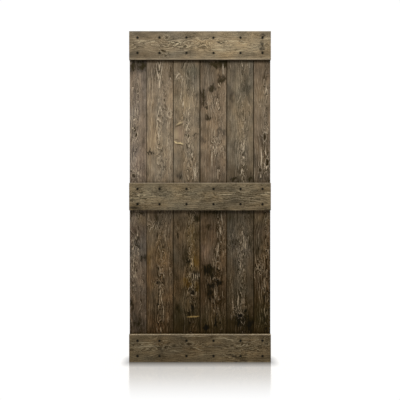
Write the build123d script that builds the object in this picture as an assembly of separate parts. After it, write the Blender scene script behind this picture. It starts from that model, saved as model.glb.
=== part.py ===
"""Barn door slab: six upright tongue-and-groove pine boards held together by three face rails.

Millimetres, +Z up, the front looks along -Y. The origin is the middle of the top rail's front face,
where the strap hangers of a sliding track are bolted on.
"""

import os

from build123d import *

# Door
DOOR_WIDTH = 914.4
DOOR_HEIGHT = 2133.6

# Boards, each with a groove on its left edge and a tongue on its right
BOARD_THICKNESS = 19.0
BOARD_PITCH = 174.0  # seam to seam
SEAM_GAP = 0.4  # open joint between two faces
SEAM_CHAMFER = 2.0  # front arris, two of them make the V of a seam
BACK_CHAMFER = 0.8
TONGUE_THICKNESS = 6.0
TONGUE_LENGTH = 6.0  # how far a tongue stands out of its board
TONGUE_CHAMFER = 0.8  # lead-in on a tongue's two corners
TONGUE_CLEARANCE = 0.2  # left on each side of a tongue in its groove
TIP_CLEARANCE = 0.6  # left beyond a tongue's tip

# Rails, laid across the front of the boards
RAIL_THICKNESS = 19.0
TOP_RAIL_HEIGHT = 184.0
MIDDLE_RAIL_HEIGHT = 177.0
BOTTOM_RAIL_HEIGHT = 177.0
RAIL_ARRIS = 2.5  # rounding of a rail's front edges

# Holes for the countersunk screws, two of them through each rail in front of each board
SCREW_ROW_SPACING = 98.5
SCREW_HOLE_DIAMETER = 4.5
COUNTERSINK_DIAMETER = 9.0
COUNTERSINK_ANGLE = 90.0

# Places that follow from the sizes
DOOR_TOP = TOP_RAIL_HEIGHT / 2
DOOR_BOTTOM = DOOR_TOP - DOOR_HEIGHT
BOARD_FRONT = RAIL_THICKNESS
BOARD_MIDDLE = BOARD_FRONT + BOARD_THICKNESS / 2
RAIL_FRONT = Plane.XZ  # looks out along -Y

# Full boards from left to right, between the two edge boards
FULL_BOARDS = ["left_outer_board", "left_inner_board", "right_inner_board", "right_outer_board"]

# Node name, middle height and height of each rail
RAILS = {
    "top_rail": (0.0, TOP_RAIL_HEIGHT),
    "middle_rail": (DOOR_BOTTOM + DOOR_HEIGHT / 2, MIDDLE_RAIL_HEIGHT),
    "bottom_rail": (DOOR_BOTTOM + BOTTOM_RAIL_HEIGHT / 2, BOTTOM_RAIL_HEIGHT),
}


def board_spans():
    """Left and right seam of every board, by node name, with the two ripped edge boards."""
    outermost_seam = len(FULL_BOARDS) * BOARD_PITCH / 2
    spans = {"left_edge_board": (-DOOR_WIDTH / 2, -outermost_seam)}
    for index, name in enumerate(FULL_BOARDS):
        left = index * BOARD_PITCH - outermost_seam
        spans[name] = (left, left + BOARD_PITCH)
    spans["right_edge_board"] = (outermost_seam, DOOR_WIDTH / 2)
    return spans


def board_section(left, right, grooved, tongued):
    """A board seen from above, between its two faces' edges, with its tongue to the right."""
    width = right - left
    section = Pos((left + right) / 2, BOARD_MIDDLE) * Rectangle(width, BOARD_THICKNESS)
    section = chamfer(section.vertices().group_by(Axis.Y)[0], SEAM_CHAMFER)
    section = chamfer(section.vertices().group_by(Axis.Y)[-1], BACK_CHAMFER)
    if grooved:
        depth = TONGUE_LENGTH - SEAM_GAP + TIP_CLEARANCE
        mouth = TONGUE_THICKNESS + 2 * TONGUE_CLEARANCE
        section -= Pos(left + depth / 2, BOARD_MIDDLE) * Rectangle(depth, mouth)
    if tongued:
        tongue = Pos(right + TONGUE_LENGTH / 2, BOARD_MIDDLE) * Rectangle(TONGUE_LENGTH, TONGUE_THICKNESS)
        section += chamfer(tongue.vertices().group_by(Axis.X)[-1], TONGUE_CHAMFER)
    return section


def make_board(left_seam, right_seam):
    """One full-height board, its seams half open on each side and its outer edge flush."""
    grooved = left_seam > -DOOR_WIDTH / 2
    tongued = right_seam < DOOR_WIDTH / 2
    left = left_seam + SEAM_GAP / 2 if grooved else left_seam
    right = right_seam - SEAM_GAP / 2 if tongued else right_seam
    section = board_section(left, right, grooved, tongued)
    return Pos(0, 0, DOOR_BOTTOM) * extrude(section, DOOR_HEIGHT)


def make_rail(middle, height):
    """One rail across the whole door, with a row of countersunk holes near each long edge."""
    face = RAIL_FRONT * Pos(0, middle) * Rectangle(DOOR_WIDTH, height)
    rail = extrude(face, -RAIL_THICKNESS)
    rail = fillet(rail.faces().sort_by(Axis.Y)[0].edges(), RAIL_ARRIS)
    holes = [
        RAIL_FRONT
        * Pos((left + right) / 2, middle + side * SCREW_ROW_SPACING / 2)
        * CounterSinkHole(
            SCREW_HOLE_DIAMETER / 2,
            COUNTERSINK_DIAMETER / 2,
            depth=RAIL_THICKNESS,
            counter_sink_angle=COUNTERSINK_ANGLE,
        )
        for left, right in board_spans().values()
        for side in (-1, 1)
    ]
    return rail - holes


def main():
    os.makedirs("parts", exist_ok=True)
    for name, (left, right) in board_spans().items():
        export_step(make_board(left, right), f"parts/{name}.step")
    for name, (middle, height) in RAILS.items():
        export_step(make_rail(middle, height), f"parts/{name}.step")


main()
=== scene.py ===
"""Dresses the barn door slab: brushed and stained knotty pine boards and rails, black screws, a white studio.

Lengths are millimetres unless a name ends in _m. Each plank has measures of its own: across its face from its
middle line, along it from its bottom or left end, and depth from its face into the wood.
"""

import math
from collections import namedtuple

import bpy
import numpy as np
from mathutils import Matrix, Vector


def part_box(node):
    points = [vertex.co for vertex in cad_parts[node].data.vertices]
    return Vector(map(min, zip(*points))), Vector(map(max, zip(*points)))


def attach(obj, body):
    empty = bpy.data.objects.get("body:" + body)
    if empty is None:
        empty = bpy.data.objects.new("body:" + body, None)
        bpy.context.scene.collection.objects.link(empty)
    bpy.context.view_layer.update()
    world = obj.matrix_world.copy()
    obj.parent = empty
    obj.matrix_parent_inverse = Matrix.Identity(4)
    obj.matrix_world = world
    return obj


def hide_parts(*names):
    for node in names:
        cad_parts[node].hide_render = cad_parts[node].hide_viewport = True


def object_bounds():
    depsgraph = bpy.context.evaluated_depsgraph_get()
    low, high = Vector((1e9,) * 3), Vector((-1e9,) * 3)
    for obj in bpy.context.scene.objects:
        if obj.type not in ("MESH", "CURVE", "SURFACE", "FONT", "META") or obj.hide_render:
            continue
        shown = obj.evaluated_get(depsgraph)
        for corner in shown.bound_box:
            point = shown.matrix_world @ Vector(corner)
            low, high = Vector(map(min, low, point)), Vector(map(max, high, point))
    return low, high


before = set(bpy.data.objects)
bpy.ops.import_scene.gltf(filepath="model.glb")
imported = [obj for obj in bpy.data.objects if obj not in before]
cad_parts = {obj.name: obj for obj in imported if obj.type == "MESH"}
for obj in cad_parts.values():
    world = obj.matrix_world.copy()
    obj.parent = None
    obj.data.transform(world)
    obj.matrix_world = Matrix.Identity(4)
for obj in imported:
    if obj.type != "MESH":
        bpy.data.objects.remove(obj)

cad_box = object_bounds()
MM = 0.001

# Boards from left to right and rails from the top down, as the frame names them
BOARDS = [
    "left_edge_board", "left_outer_board", "left_inner_board",
    "right_inner_board", "right_outer_board", "right_edge_board",
]
RAILS = ["top_rail", "middle_rail", "bottom_rail"]

# Joinery of the solids
SEAM_CHAMFER = 2.0
BACK_CHAMFER = 0.8
TONGUE_THICKNESS = 6.0
TONGUE_LENGTH = 6.0
TONGUE_CHAMFER = 0.8
GROOVE_MOUTH = 6.4
GROOVE_DEPTH = 6.2
RAIL_ARRIS = 2.5
SCREW_ROW_SPACING = 98.5
COUNTERSINK_RADIUS = 4.5

# Spacing of the mesh lines
FACE_STEP = 2.3
BACK_STEP = 9.0
LENGTH_STEP = 6.0
HOLE_STEP = 0.75
HOLE_REACH = 6.0
ARRIS_STEPS = 4
SIDE_LINES = 4

# Sockets of a Mix node for colours, and how far noise spreads round 0
MIX_FACTOR = 0
MIX_FIRST = 6
MIX_SECOND = 7
MIX_RESULT = 2
NOISE_SPREAD = 4


class Value:
    """A number in a shader. Sums on it add the nodes that work them out."""

    def __init__(self, shader, socket):
        self.shader = shader
        self.socket = socket

    def math(self, operation, *others):
        return self.shader.math(operation, self, *others)

    def __add__(self, other):
        return self.math("ADD", other)

    def __radd__(self, other):
        return self.math("ADD", other)

    def __sub__(self, other):
        return self.math("SUBTRACT", other)

    def __rsub__(self, other):
        return self.shader.math("SUBTRACT", other, self)

    def __mul__(self, other):
        return self.math("MULTIPLY", other)

    def __rmul__(self, other):
        return self.math("MULTIPLY", other)

    def __truediv__(self, other):
        return self.math("DIVIDE", other)

    def __pow__(self, other):
        return self.math("POWER", other)

    def __rpow__(self, other):
        return self.shader.math("POWER", other, self)

    def __abs__(self):
        return self.math("ABSOLUTE")


class Shader:
    """The nodes of one finish."""

    def __init__(self, tree):
        self.tree = tree
        tree.nodes.clear()

    def node(self, kind, settings, sockets):
        """Adds a node of this kind: its settings first, then the values or links of its sockets."""
        made = self.tree.nodes.new("ShaderNode" + kind)
        for name, setting in settings.items():
            setattr(made, name, setting)
        for name, value in sockets.items():
            if isinstance(value, Value):
                self.tree.links.new(value.socket, made.inputs[name])
            else:
                made.inputs[name].default_value = value
        return made

    def output(self, kind, settings, sockets, output=0):
        """The same, giving one output of the node as a value."""
        return Value(self, self.node(kind, settings, sockets).outputs[output])

    def math(self, operation, *operands):
        return self.output("Math", {"operation": operation}, dict(enumerate(operands)))

    def mix(self, factor, first, second, blend="MIX"):
        """The first colour, turning into the second as the factor goes from 0 to 1."""
        sockets = {MIX_FACTOR: factor, MIX_FIRST: first, MIX_SECOND: second}
        return self.output("Mix", {"data_type": "RGBA", "blend_type": blend}, sockets, MIX_RESULT)

    def noise(self, across, along, depth, detail):
        """Cloudy values, mostly between -1 and 1, in cells one unit wide."""
        place = self.output("CombineXYZ", {}, {0: across, 1: along, 2: depth})
        cloudy = self.output("TexNoise", {}, {"Vector": place, "Scale": 1.0, "Detail": detail})
        return NOISE_SPREAD * cloudy - NOISE_SPREAD / 2

    def clip(self, value):
        """The value kept between 0 and 1."""
        return self.output("Clamp", {}, {"Value": value})

    def decay(self, value):
        """1 where the value is 0, falling to about a third for each 1 that it grows by."""
        return (1 / math.e) ** value

    def bell(self, plan, mark):
        """1 in the middle of a mark, a third at its edge and 0 well outside it."""
        offset = self.output("Mapping", {"vector_type": "TEXTURE"}, {
            "Vector": plan,
            "Location": (mark.across, mark.along, 0),
            "Rotation": (0, 0, math.radians(mark.tilt)),
            "Scale": (mark.half_width, mark.half_length, 1),
        })
        squared = self.output("VectorMath", {"operation": "DOT_PRODUCT"}, {0: offset, 1: offset}, "Value")
        return self.decay(squared)

    def cover(self, plan, marks):
        """How strongly the marks of one kind cover a point, taken together."""
        covered = 0.0
        for mark in marks:
            covered = covered + mark.strength * self.bell(plan, mark)
        return covered


def new_finish(name):
    """An empty material and the shader that its nodes go in."""
    material = bpy.data.materials.new(name)
    material.use_nodes = True
    return material, Shader(material.node_tree)


def paint(red, green, blue):
    """A colour as a shader wants it, from its 0 to 255 screen values."""
    screen = [channel / 255 for channel in (red, green, blue)]
    return (*[c / 12.92 if c <= 0.04045 else ((c + 0.055) / 1.055) ** 2.4 for c in screen], 1.0)


# Marks in the wood: middle across and along the face, half sizes, how strong they are and how they lean,
# in degrees
MARK = "across along half_width half_length strength tilt"
Knot = namedtuple("Knot", MARK, defaults=[0])
Stroke = namedtuple("Stroke", MARK, defaults=[0])
Curl = namedtuple("Curl", MARK, defaults=[0])
Cloud = namedtuple("Cloud", MARK, defaults=[0])
Lens = namedtuple("Lens", "across along half_width half_length rings glow tilt", defaults=[0])

# A patch with an edge of 1 stains the wood under its grain. A higher edge is crisper and covers the grain
Patch = namedtuple("Patch", "across along half_width half_length strength colour tilt edge", defaults=[0, 1])

# A plank's look: its stain, where the log's heart lies from the middle of its face, how the heart strays
# along it, the width of a growth ring, a seed, the strength of its grain, of its flecks and of the figure
# over the heart, and its marks. Boards soak up stain at their foot and have a dark seam on their left, of
# this reach. Rails are worn, with a painted highlight, on their upper edge and rubbed on their lower one
Figure = namedtuple(
    "Figure",
    "tone heart_across heart_depth sway swell spacing seed grain fleck flame "
    "knots lenses strokes curls clouds patches soak seam worn rubbed",
    defaults=[0, 0, 0, 0],
)

# Colours of the wood's patches, marks and lines
TAN = paint(168, 148, 114)
CREAM = paint(234, 214, 166)
GOLD = paint(142, 118, 64)
OLIVE = paint(122, 115, 92)
MOSS = paint(98, 94, 76)
ASH = paint(150, 138, 122)
PLUM = paint(112, 98, 88)
PINK_ASH = paint(182, 158, 138)
RUST = paint(92, 66, 48)
UMBER = paint(84, 70, 50)
# Black of the nail marks on the boards, also used for the painted shade round the screws
NAIL_AND_SHADE_BLACK = paint(16, 14, 12)
KNOT_BROWN = paint(42, 34, 26)
CLOUD_BLACK = paint(28, 27, 29)
SEAM_BROWN = paint(22, 17, 11)
LINE_PALE = paint(230, 214, 188)
LINE_GREY = paint(232, 220, 202)
LINE_TAN = paint(208, 194, 162)
LINE_DARK = paint(48, 39, 29)

# Tints that multiply the wood's colour
COOL = (0.86, 0.97, 1.14, 1)
# Dirt and painted shade beside the rails, and painted shade on a rail's underside
GRIME_AND_SHADE = (0.1, 0.085, 0.07, 1)
END_GRAIN = (0.5, 0.46, 0.42, 1)
PALE_TINT = (1.0, 1.0, 1.01, 1)
DARK_TINT = (1.15, 1.0, 0.1, 1)
DARK_STAIN = 0.036  # lightness at which the dark tint has fallen to a third

FIGURES = {
    "left_edge_board": Figure(
        tone=paint(141, 125, 107), heart_across=-20, heart_depth=5, sway=10, swell=22, spacing=16, seed=1.7,
        soak=0.6, grain=1.0, fleck=0.26, flame=0.2,
        knots=[
            Knot(-1, 1751, 7, 16, 0.7), Knot(-26, 1588, 15, 7, 0.6), Knot(-12, 1468, 9, 18, 0.85),
            Knot(-29, 1201, 13, 18, 0.8), Knot(-41, 553, 6, 10, 0.7), Knot(-38, 528, 7, 7, 0.6),
        ],
        lenses=[
            Lens(-29, 1767, 8, 42, 1.4, 0.6), Lens(-4, 1220, 10, 24, 1.6, 0.8),
            Lens(-23, 765, 10, 40, 1.6, 0.6), Lens(-26, 609, 9, 76, 1.6, 0.7),
            Lens(-25, 450, 8, 60, 1.3, 0.5),
        ],
        strokes=[
            Stroke(2, 1804, 2.5, 28, 0.5), Stroke(-23, 1568, 7, 7, 0.8), Stroke(-32, 1513, 4, 8, 0.7),
            Stroke(-4, 1425, 5, 14, 0.7), Stroke(-2, 1222, 5, 8, 0.9), Stroke(6, 1214, 4, 8, 0.7),
            Stroke(-30, 640, 3, 40, 0.5), Stroke(-20, 570, 3, 40, 0.5),
        ],
        curls=[
            Curl(-20, 1470, 16, 60, 0.9), Curl(-30, 620, 18, 180, 0.9), Curl(-15, 1215, 24, 36, 1.0),
            Curl(-10, 955, 40, 24, 0.8),
        ],
        clouds=[
            Cloud(-32, 1913, 14, 32, 0.7), Cloud(30, 1922, 20, 30, 0.85), Cloud(27, 1910, 18, 8, 0.5, -20),
            Cloud(40, 1422, 12, 30, 0.35), Cloud(24, 958, 24, 16, 0.6), Cloud(-38, 961, 7, 20, 0.4),
            # Cloud(0, 1915, ...) darkens the board just below the top rail: painted shade and dirt
            Cloud(32, 668, 18, 22, 0.7), Cloud(-38, 363, 12, 32, 0.5), Cloud(0, 1915, 60, 50, 0.4),
            Cloud(0, 240, 50, 50, 0.4),
        ],
        patches=[
            Patch(-20, 1369, 40, 60, 0.45, PLUM), Patch(-20, 924, 8, 42, 0.6, PINK_ASH),
            Patch(10, 925, 50, 45, 0.5, TAN), Patch(-16, 846, 34, 34, 0.45, RUST),
            Patch(4, 1275, 46, 80, 0.4, PINK_ASH), Patch(8, 715, 46, 80, 0.7, ASH),
        ],
    ),
    "left_outer_board": Figure(
        tone=paint(151, 133, 109), heart_across=-2, heart_depth=4, sway=7, swell=30, spacing=18, seed=12.3,
        soak=1.28, grain=1.05, fleck=0.2, flame=0.28, seam=2.0,
        knots=[
            Knot(28, 1692, 6, 16, 0.7), Knot(19, 1636, 10, 16, 0.6), Knot(63, 1602, 18, 24, 0.5),
            Knot(11, 1360, 11, 12, 0.8), Knot(40, 1308, 10, 13, 0.6), Knot(-2, 1203, 13, 14, 0.7),
            Knot(-12, 507, 17, 19, 0.5),
        ],
        lenses=[
            Lens(-3, 1990, 24, 150, 3.4, 0.45), Lens(0, 1634, 12, 28, 1.7, 0.6),
            Lens(-2, 1513, 15, 92, 2.4, 0.9), Lens(63, 1602, 24, 30, 2.0, 1.0),
            Lens(-6, 1357, 12, 28, 1.5, 0.6), Lens(10, 1260, 18, 52, 1.8, 0.5),
            Lens(-52, 873, 28, 30, 2.6, 0.8), Lens(19, 678, 15, 60, 2.9, 0.6),
            Lens(-12, 507, 26, 34, 1.8, 0.5),
        ],
        strokes=[
            Stroke(-3, 1905, 3, 20, 0.7), Stroke(-3, 1805, 3, 22, 0.9), Stroke(-5, 1470, 3, 40, 0.9),
            Stroke(3, 1540, 2.5, 40, 0.6), Stroke(28, 556, 4, 20, 0.8), Stroke(7, 418, 4, 75, 0.8, 10),
            Stroke(23, 294, 4, 46, 0.7), Stroke(7, 198, 4, 22, 0.9), Stroke(-18, 200, 3, 18, 0.6),
            Stroke(-40, 880, 3, 30, 0.7, -38), Stroke(-56, 862, 3, 26, 0.7, -25),
            Stroke(-26, 858, 3, 26, 0.5, -48), Stroke(-38, 500, 4, 16, 0.6, 25),
            Stroke(2, 486, 3, 18, 0.6, -30), Stroke(-15, 1870, 2.6, 76, 0.9, 9),
            Stroke(9, 1870, 2.6, 76, 0.9, -9), Stroke(-9, 1928, 2.4, 25, 0.8, 13),
            Stroke(3, 1928, 2.4, 25, 0.8, -13), Stroke(-8, 1620, 2.6, 34, 0.8, -14),
            Stroke(10, 1620, 2.6, 34, 0.8, 14),
        ],
        curls=[Curl(12, 1330, 34, 60, 0.5), Curl(8, 450, 16, 250, 0.8), Curl(-50, 885, 26, 34, 0.8)],
        clouds=[
            Cloud(-62, 1356, 24, 11, 0.85), Cloud(-15, 933, 22, 34, 0.35), Cloud(-12, 512, 20, 8, 0.5),
        ],
        patches=[
            Patch(58, 1433, 3.5, 5.5, 1.0, NAIL_AND_SHADE_BLACK, 0, 2), Patch(28, 1636, 36, 5, 0.7, UMBER, -36, 1.5),
            Patch(44, 1644, 34, 5, 0.6, UMBER, -58, 1.5), Patch(-46, 846, 30, 32, 0.35, TAN),
            Patch(-71, 659, 16, 46, 0.5, GOLD), Patch(-40, 497, 10, 14, 0.5, GOLD),
            # Patch(0, 1890, ..., UMBER) darkens the board just below the top rail: painted shade and dirt
            Patch(0, 1390, 76, 170, 0.2, TAN), Patch(0, 1890, 90, 50, 0.35, UMBER),
            Patch(0, 720, 80, 80, 0.3, TAN),
        ],
    ),
    "left_inner_board": Figure(
        tone=paint(144, 127, 103), heart_across=14, heart_depth=4, sway=9, swell=28, spacing=16, seed=23.9,
        soak=1.22, grain=1.15, fleck=0.26, flame=0.3, seam=3.6,
        knots=[
            Knot(-53, 1848, 18, 20, 0.45), Knot(-1, 1468, 6, 9, 0.9), Knot(13, 1463, 4, 11, 0.9),
            Knot(9, 1546, 6, 12, 0.5), Knot(0, 1423, 6, 12, 0.5), Knot(16, 1351, 7, 12, 0.6),
            Knot(35, 444, 17, 28, 0.6),
        ],
        lenses=[
            Lens(-53, 1848, 25, 27, 2.0, 0.7), Lens(-28, 1822, 12, 30, 1.8, 0.7),
            Lens(-20, 1580, 13, 34, 1.8, 0.6), Lens(53, 1226, 14, 64, 2.2, 0.9),
            Lens(-53, 852, 13, 34, 2.0, 0.6), Lens(40, 790, 20, 80, 2.0, 0.3),
            Lens(35, 444, 26, 40, 2.0, 0.4),
        ],
        strokes=[
            Stroke(-33, 1735, 3, 26, 0.7, -8), Stroke(-36, 1700, 3, 22, 0.6, 12),
            Stroke(-24, 1668, 3.5, 16, 0.9, -10), Stroke(16, 1394, 4, 10, 0.9), Stroke(35, 1345, 4, 9, 0.8),
            Stroke(50, 1220, 3, 50, 0.9, 4), Stroke(58, 1226, 3, 40, 0.7, -5),
            Stroke(2, 1510, 2.5, 26, 0.6, -14), Stroke(12, 1520, 2.5, 26, 0.6, 14),
            Stroke(35, 428, 4.5, 5, 1.0), Stroke(-63, 1848, 2.6, 26, 0.9, -30),
            Stroke(-41, 1853, 2.6, 26, 0.9, 35), Stroke(-28, 1815, 2.6, 26, 0.9, -12),
            Stroke(44, 550, 2.5, 20, 1.0), Stroke(58, 548, 2.5, 22, 1.0), Stroke(70, 552, 2.5, 22, 0.9),
            Stroke(80, 556, 2, 18, 0.8),
        ],
        curls=[
            Curl(8, 1450, 18, 160, 0.8), Curl(48, 1245, 22, 70, 0.9), Curl(48, 950, 24, 50, 1.1),
            Curl(20, 720, 26, 90, 0.7), Curl(36, 480, 28, 130, 0.8),
        ],
        clouds=[
            Cloud(-21, 1910, 10, 20, 0.5, -20), Cloud(57, 1468, 24, 12, 0.6), Cloud(-43, 1204, 22, 24, 0.5),
            Cloud(63, 927, 18, 26, 0.75), Cloud(-52, 808, 8, 20, 0.7), Cloud(-5, 696, 18, 60, 0.4),
            Cloud(10, 647, 12, 14, 0.7), Cloud(37, 356, 7, 44, 0.7), Cloud(-62, 350, 16, 20, 0.45),
            Cloud(0, 240, 120, 60, 0.2),
        ],
        patches=[
            Patch(-52, 1470, 34, 46, 0.5, PINK_ASH, 8, 1.1), Patch(-66, 1470, 15, 42, 0.25, CREAM, 8, 1.1),
            Patch(-44, 1545, 27, 5, 0.5, CREAM, 29, 1.8), Patch(-47, 1530, 26, 5, 0.75, UMBER, 20, 1.8),
            Patch(-64, 1438, 13, 4, 0.6, UMBER, -14, 1.8), Patch(-42, 1404, 24, 4, 0.85, UMBER, -6, 1.8),
            Patch(-70, 1422, 14, 4.5, 1.0, CREAM, -36, 2), Patch(-41, 1413, 22, 4.5, 1.0, CREAM, -8, 2),
            Patch(30, 1885, 60, 44, 0.75, MOSS), Patch(14, 1790, 32, 46, 0.4, MOSS),
            Patch(-20, 1690, 76, 70, 0.45, TAN), Patch(-48, 1846, 34, 34, 0.45, TAN),
            Patch(53, 640, 28, 50, 0.9, GOLD), Patch(3, 505, 26, 40, 0.9, GOLD),
            Patch(66, 475, 14, 30, 0.9, GOLD), Patch(42, 800, 44, 110, 0.45, GOLD),
            Patch(0, 290, 120, 150, 0.4, OLIVE), Patch(41, 287, 42, 5, 1.0, CREAM, 3, 2),
            Patch(60, 556, 28, 26, 0.85, NAIL_AND_SHADE_BLACK, 0, 2), Patch(24, 462, 6, 32, 0.9, NAIL_AND_SHADE_BLACK, 4, 2),
            Patch(45, 448, 7, 28, 0.9, NAIL_AND_SHADE_BLACK, -6, 2),
        ],
    ),
    "right_inner_board": Figure(
        tone=paint(138, 119, 95), heart_across=34, heart_depth=5, sway=9, swell=28, spacing=17, seed=34.1,
        soak=1.15, grain=1.1, fleck=0.24, flame=0.22, seam=5.4,
        knots=[Knot(1, 1454, 7, 9, 0.8), Knot(54, 1379, 16, 16, 0.45)],
        lenses=[
            Lens(1, 1388, 24, 38, 2.2, 0.5), Lens(54, 1379, 24, 24, 2.2, 0.6),
            Lens(45, 850, 8, 130, 1.3, 0.5), Lens(28, 690, 12, 50, 1.8, 0.7),
            Lens(15, 444, 12, 54, 2.2, 0.9),
        ],
        strokes=[
            Stroke(62, 1891, 3, 34, 0.8), Stroke(-10, 1310, 3.5, 52, 0.9), Stroke(7, 1362, 3, 22, 0.7),
            Stroke(54, 921, 2.4, 42, 0.9, 4), Stroke(45, 846, 2.4, 38, 0.9, 6),
            Stroke(34, 746, 2.6, 26, 0.8, -8), Stroke(22, 684, 2.4, 40, 0.9, -10),
            Stroke(34, 690, 2.4, 38, 0.7, 12), Stroke(8, 440, 3, 44, 0.8), Stroke(22, 448, 3, 40, 0.6),
            Stroke(60, 430, 3, 26, 0.5), Stroke(30, 330, 3, 40, 0.5),
        ],
        curls=[
            Curl(-12, 1683, 30, 26, 0.9), Curl(10, 1400, 40, 60, 0.8), Curl(42, 870, 18, 110, 1.0),
            Curl(10, 500, 24, 180, 1.1), Curl(-48, 530, 16, 60, 0.7),
        ],
        clouds=[
            Cloud(4, 1922, 24, 16, 1.0), Cloud(66, 1928, 22, 28, 1.1), Cloud(57, 1823, 26, 22, 1.1),
            Cloud(-10, 1770, 24, 23, 1.2), Cloud(10, 1714, 18, 10, 0.4), Cloud(-68, 1717, 17, 42, 1.0),
            Cloud(-61, 1673, 18, 24, 0.8), Cloud(-44, 1645, 9, 11, 1.2), Cloud(-36, 1577, 24, 14, 0.9),
            Cloud(48, 1488, 30, 17, 0.45), Cloud(-67, 1432, 14, 26, 0.4), Cloud(-28, 871, 24, 20, 0.55),
            Cloud(-34, 590, 40, 34, 0.9), Cloud(-14, 572, 8, 50, 0.9, 8), Cloud(-18, 491, 20, 15, 1.1),
            Cloud(38, 510, 20, 10, 0.9), Cloud(-27, 431, 12, 34, 0.6), Cloud(-47, 219, 26, 14, 0.8),
            Cloud(16, 238, 8, 28, 0.8), Cloud(-9, 965, 40, 12, 0.4), Cloud(0, 960, 96, 36, 0.45),
            # Cloud(0, 1935, ...) darkens the board just below the top rail: painted shade and dirt
            Cloud(0, 465, 96, 60, 0.25), Cloud(0, 1935, 90, 20, 0.4),
        ],
        patches=[
            Patch(4, 830, 40, 60, 0.25, RUST), Patch(-51, 700, 34, 54, 0.45, PINK_ASH),
            Patch(0, 1270, 80, 80, 0.25, RUST), Patch(0, 240, 120, 90, 0.55, OLIVE),
            # Painted shade and dirt just below the top rail
            Patch(0, 1890, 90, 50, 0.35, UMBER),
        ],
    ),
    "right_outer_board": Figure(
        tone=paint(127, 113, 92), heart_across=16, heart_depth=5, sway=7, swell=26, spacing=15, seed=45.7,
        soak=0.86, grain=1.15, fleck=0.34, flame=0.25, seam=4.8,
        knots=[Knot(17, 1341, 8, 13, 0.8), Knot(0, 295, 18, 13, 1.0), Knot(-33, 338, 14, 14, 0.5)],
        lenses=[
            Lens(29, 1525, 10, 34, 1.6, 0.6), Lens(14, 1385, 11, 28, 1.9, 0.9),
            Lens(14, 1232, 10, 26, 1.6, 0.8), Lens(26, 771, 10, 60, 1.4, 0.6),
            Lens(1, 603, 12, 50, 1.6, 0.6), Lens(0, 300, 28, 22, 2.0, 0.4),
        ],
        strokes=[
            Stroke(23, 1325, 5, 7, 0.9), Stroke(10, 1395, 3, 20, 0.8, 12),
            Stroke(20, 1380, 3, 18, 0.7, -14), Stroke(10, 1228, 3, 16, 0.8, -10),
            Stroke(22, 780, 2.5, 50, 0.7), Stroke(32, 765, 2.5, 50, 0.6), Stroke(-13, 391, 4, 36, 0.9, -5),
            Stroke(-1, 309, 22, 3.5, 0.5), Stroke(8, 250, 3, 16, 0.6, 20), Stroke(26, 246, 3, 16, 0.5, -20),
            Stroke(4, 615, 3, 36, 0.6),
        ],
        curls=[
            Curl(12, 1330, 20, 150, 0.85), Curl(-20, 770, 75, 56, 1.1), Curl(12, 600, 24, 190, 0.75),
            Curl(2, 290, 26, 70, 1.0), Curl(-46, 320, 16, 90, 0.7),
        ],
        clouds=[
            Cloud(39, 1773, 32, 60, 0.4), Cloud(-55, 1711, 18, 60, 0.35), Cloud(-36, 1181, 26, 18, 0.8),
            Cloud(67, 1178, 24, 14, 0.85), Cloud(-39, 771, 36, 44, 0.35), Cloud(64, 760, 16, 26, 0.5),
            Cloud(-4, 262, 14, 22, 0.6), Cloud(66, 232, 18, 46, 0.6), Cloud(34, 326, 14, 12, 0.5),
            Cloud(20, 250, 110, 60, 0.5),
        ],
        patches=[
            Patch(39, 1773, 34, 70, 0.55, MOSS), Patch(-20, 1742, 24, 140, 0.25, TAN),
            Patch(-39, 780, 36, 46, 0.35, ASH), Patch(12, 392, 9, 24, 0.4, ASH),
            Patch(0, 700, 84, 120, 0.5, ASH), Patch(0, 1560, 80, 200, 0.18, TAN),
            # Painted shade and dust just above the middle rail
            Patch(0, 1230, 90, 60, 0.55, UMBER),
        ],
    ),
    "right_edge_board": Figure(
        tone=paint(125, 108, 87), heart_across=27, heart_depth=4, sway=8, swell=28, spacing=15, seed=56.3,
        soak=1.32, grain=1.1, fleck=0.26, flame=0.24, seam=3.8,
        knots=[
            Knot(18, 1457, 12, 32, 0.7), Knot(34, 1288, 13, 28, 0.9), Knot(-10, 1242, 13, 19, 0.7),
            Knot(28, 712, 7, 10, 0.9), Knot(-13, 609, 12, 18, 0.6),
        ],
        lenses=[
            Lens(28, 1815, 12, 70, 2.2, 0.8), Lens(-13, 1667, 11, 14, 1.5, 0.5),
            Lens(31, 1519, 11, 26, 1.6, 0.6), Lens(18, 1457, 20, 44, 1.5, 0.5),
            Lens(26, 935, 10, 46, 2.0, 0.8), Lens(34, 800, 9, 56, 1.5, 0.6),
            Lens(28, 712, 13, 18, 1.8, 0.8), Lens(-13, 609, 20, 28, 2.2, 0.9),
            Lens(19, 497, 10, 66, 1.8, 0.7), Lens(21, 409, 8, 60, 1.4, 0.5),
        ],
        strokes=[
            Stroke(24, 1760, 3, 30, 0.7, -8), Stroke(32, 1762, 3, 30, 0.7, 8), Stroke(-4, 1320, 4, 56, 1.0),
            Stroke(31, 1256, 6, 12, 0.9), Stroke(-48, 1226, 2.5, 56, 0.4), Stroke(-7, 1201, 4, 12, 0.7),
            Stroke(24, 915, 3, 26, 0.7, -10), Stroke(16, 510, 3, 36, 0.7), Stroke(24, 470, 3, 30, 0.6),
        ],
        curls=[Curl(18, 1290, 36, 80, 0.8), Curl(-8, 600, 26, 150, 0.9)],
        clouds=[Cloud(0, 1190, 34, 20, 0.4), Cloud(-25, 720, 20, 50, 0.4), Cloud(16, 1440, 40, 60, 0.35)],
        patches=[
            # Patch(0, 1290, ..., UMBER) darkens the board just above the middle rail: painted shade and dust
            Patch(0, 1700, 50, 110, 0.25, TAN), Patch(0, 1290, 60, 120, 0.5, UMBER),
            Patch(0, 280, 80, 150, 0.75, OLIVE), Patch(0, 925, 60, 45, 0.6, TAN),
            Patch(0, 720, 50, 80, 0.35, TAN),
        ],
    ),
    "top_rail": Figure(
        tone=paint(119, 105, 83), heart_across=2, heart_depth=6, sway=12, swell=24, spacing=15, seed=67.9,
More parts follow.
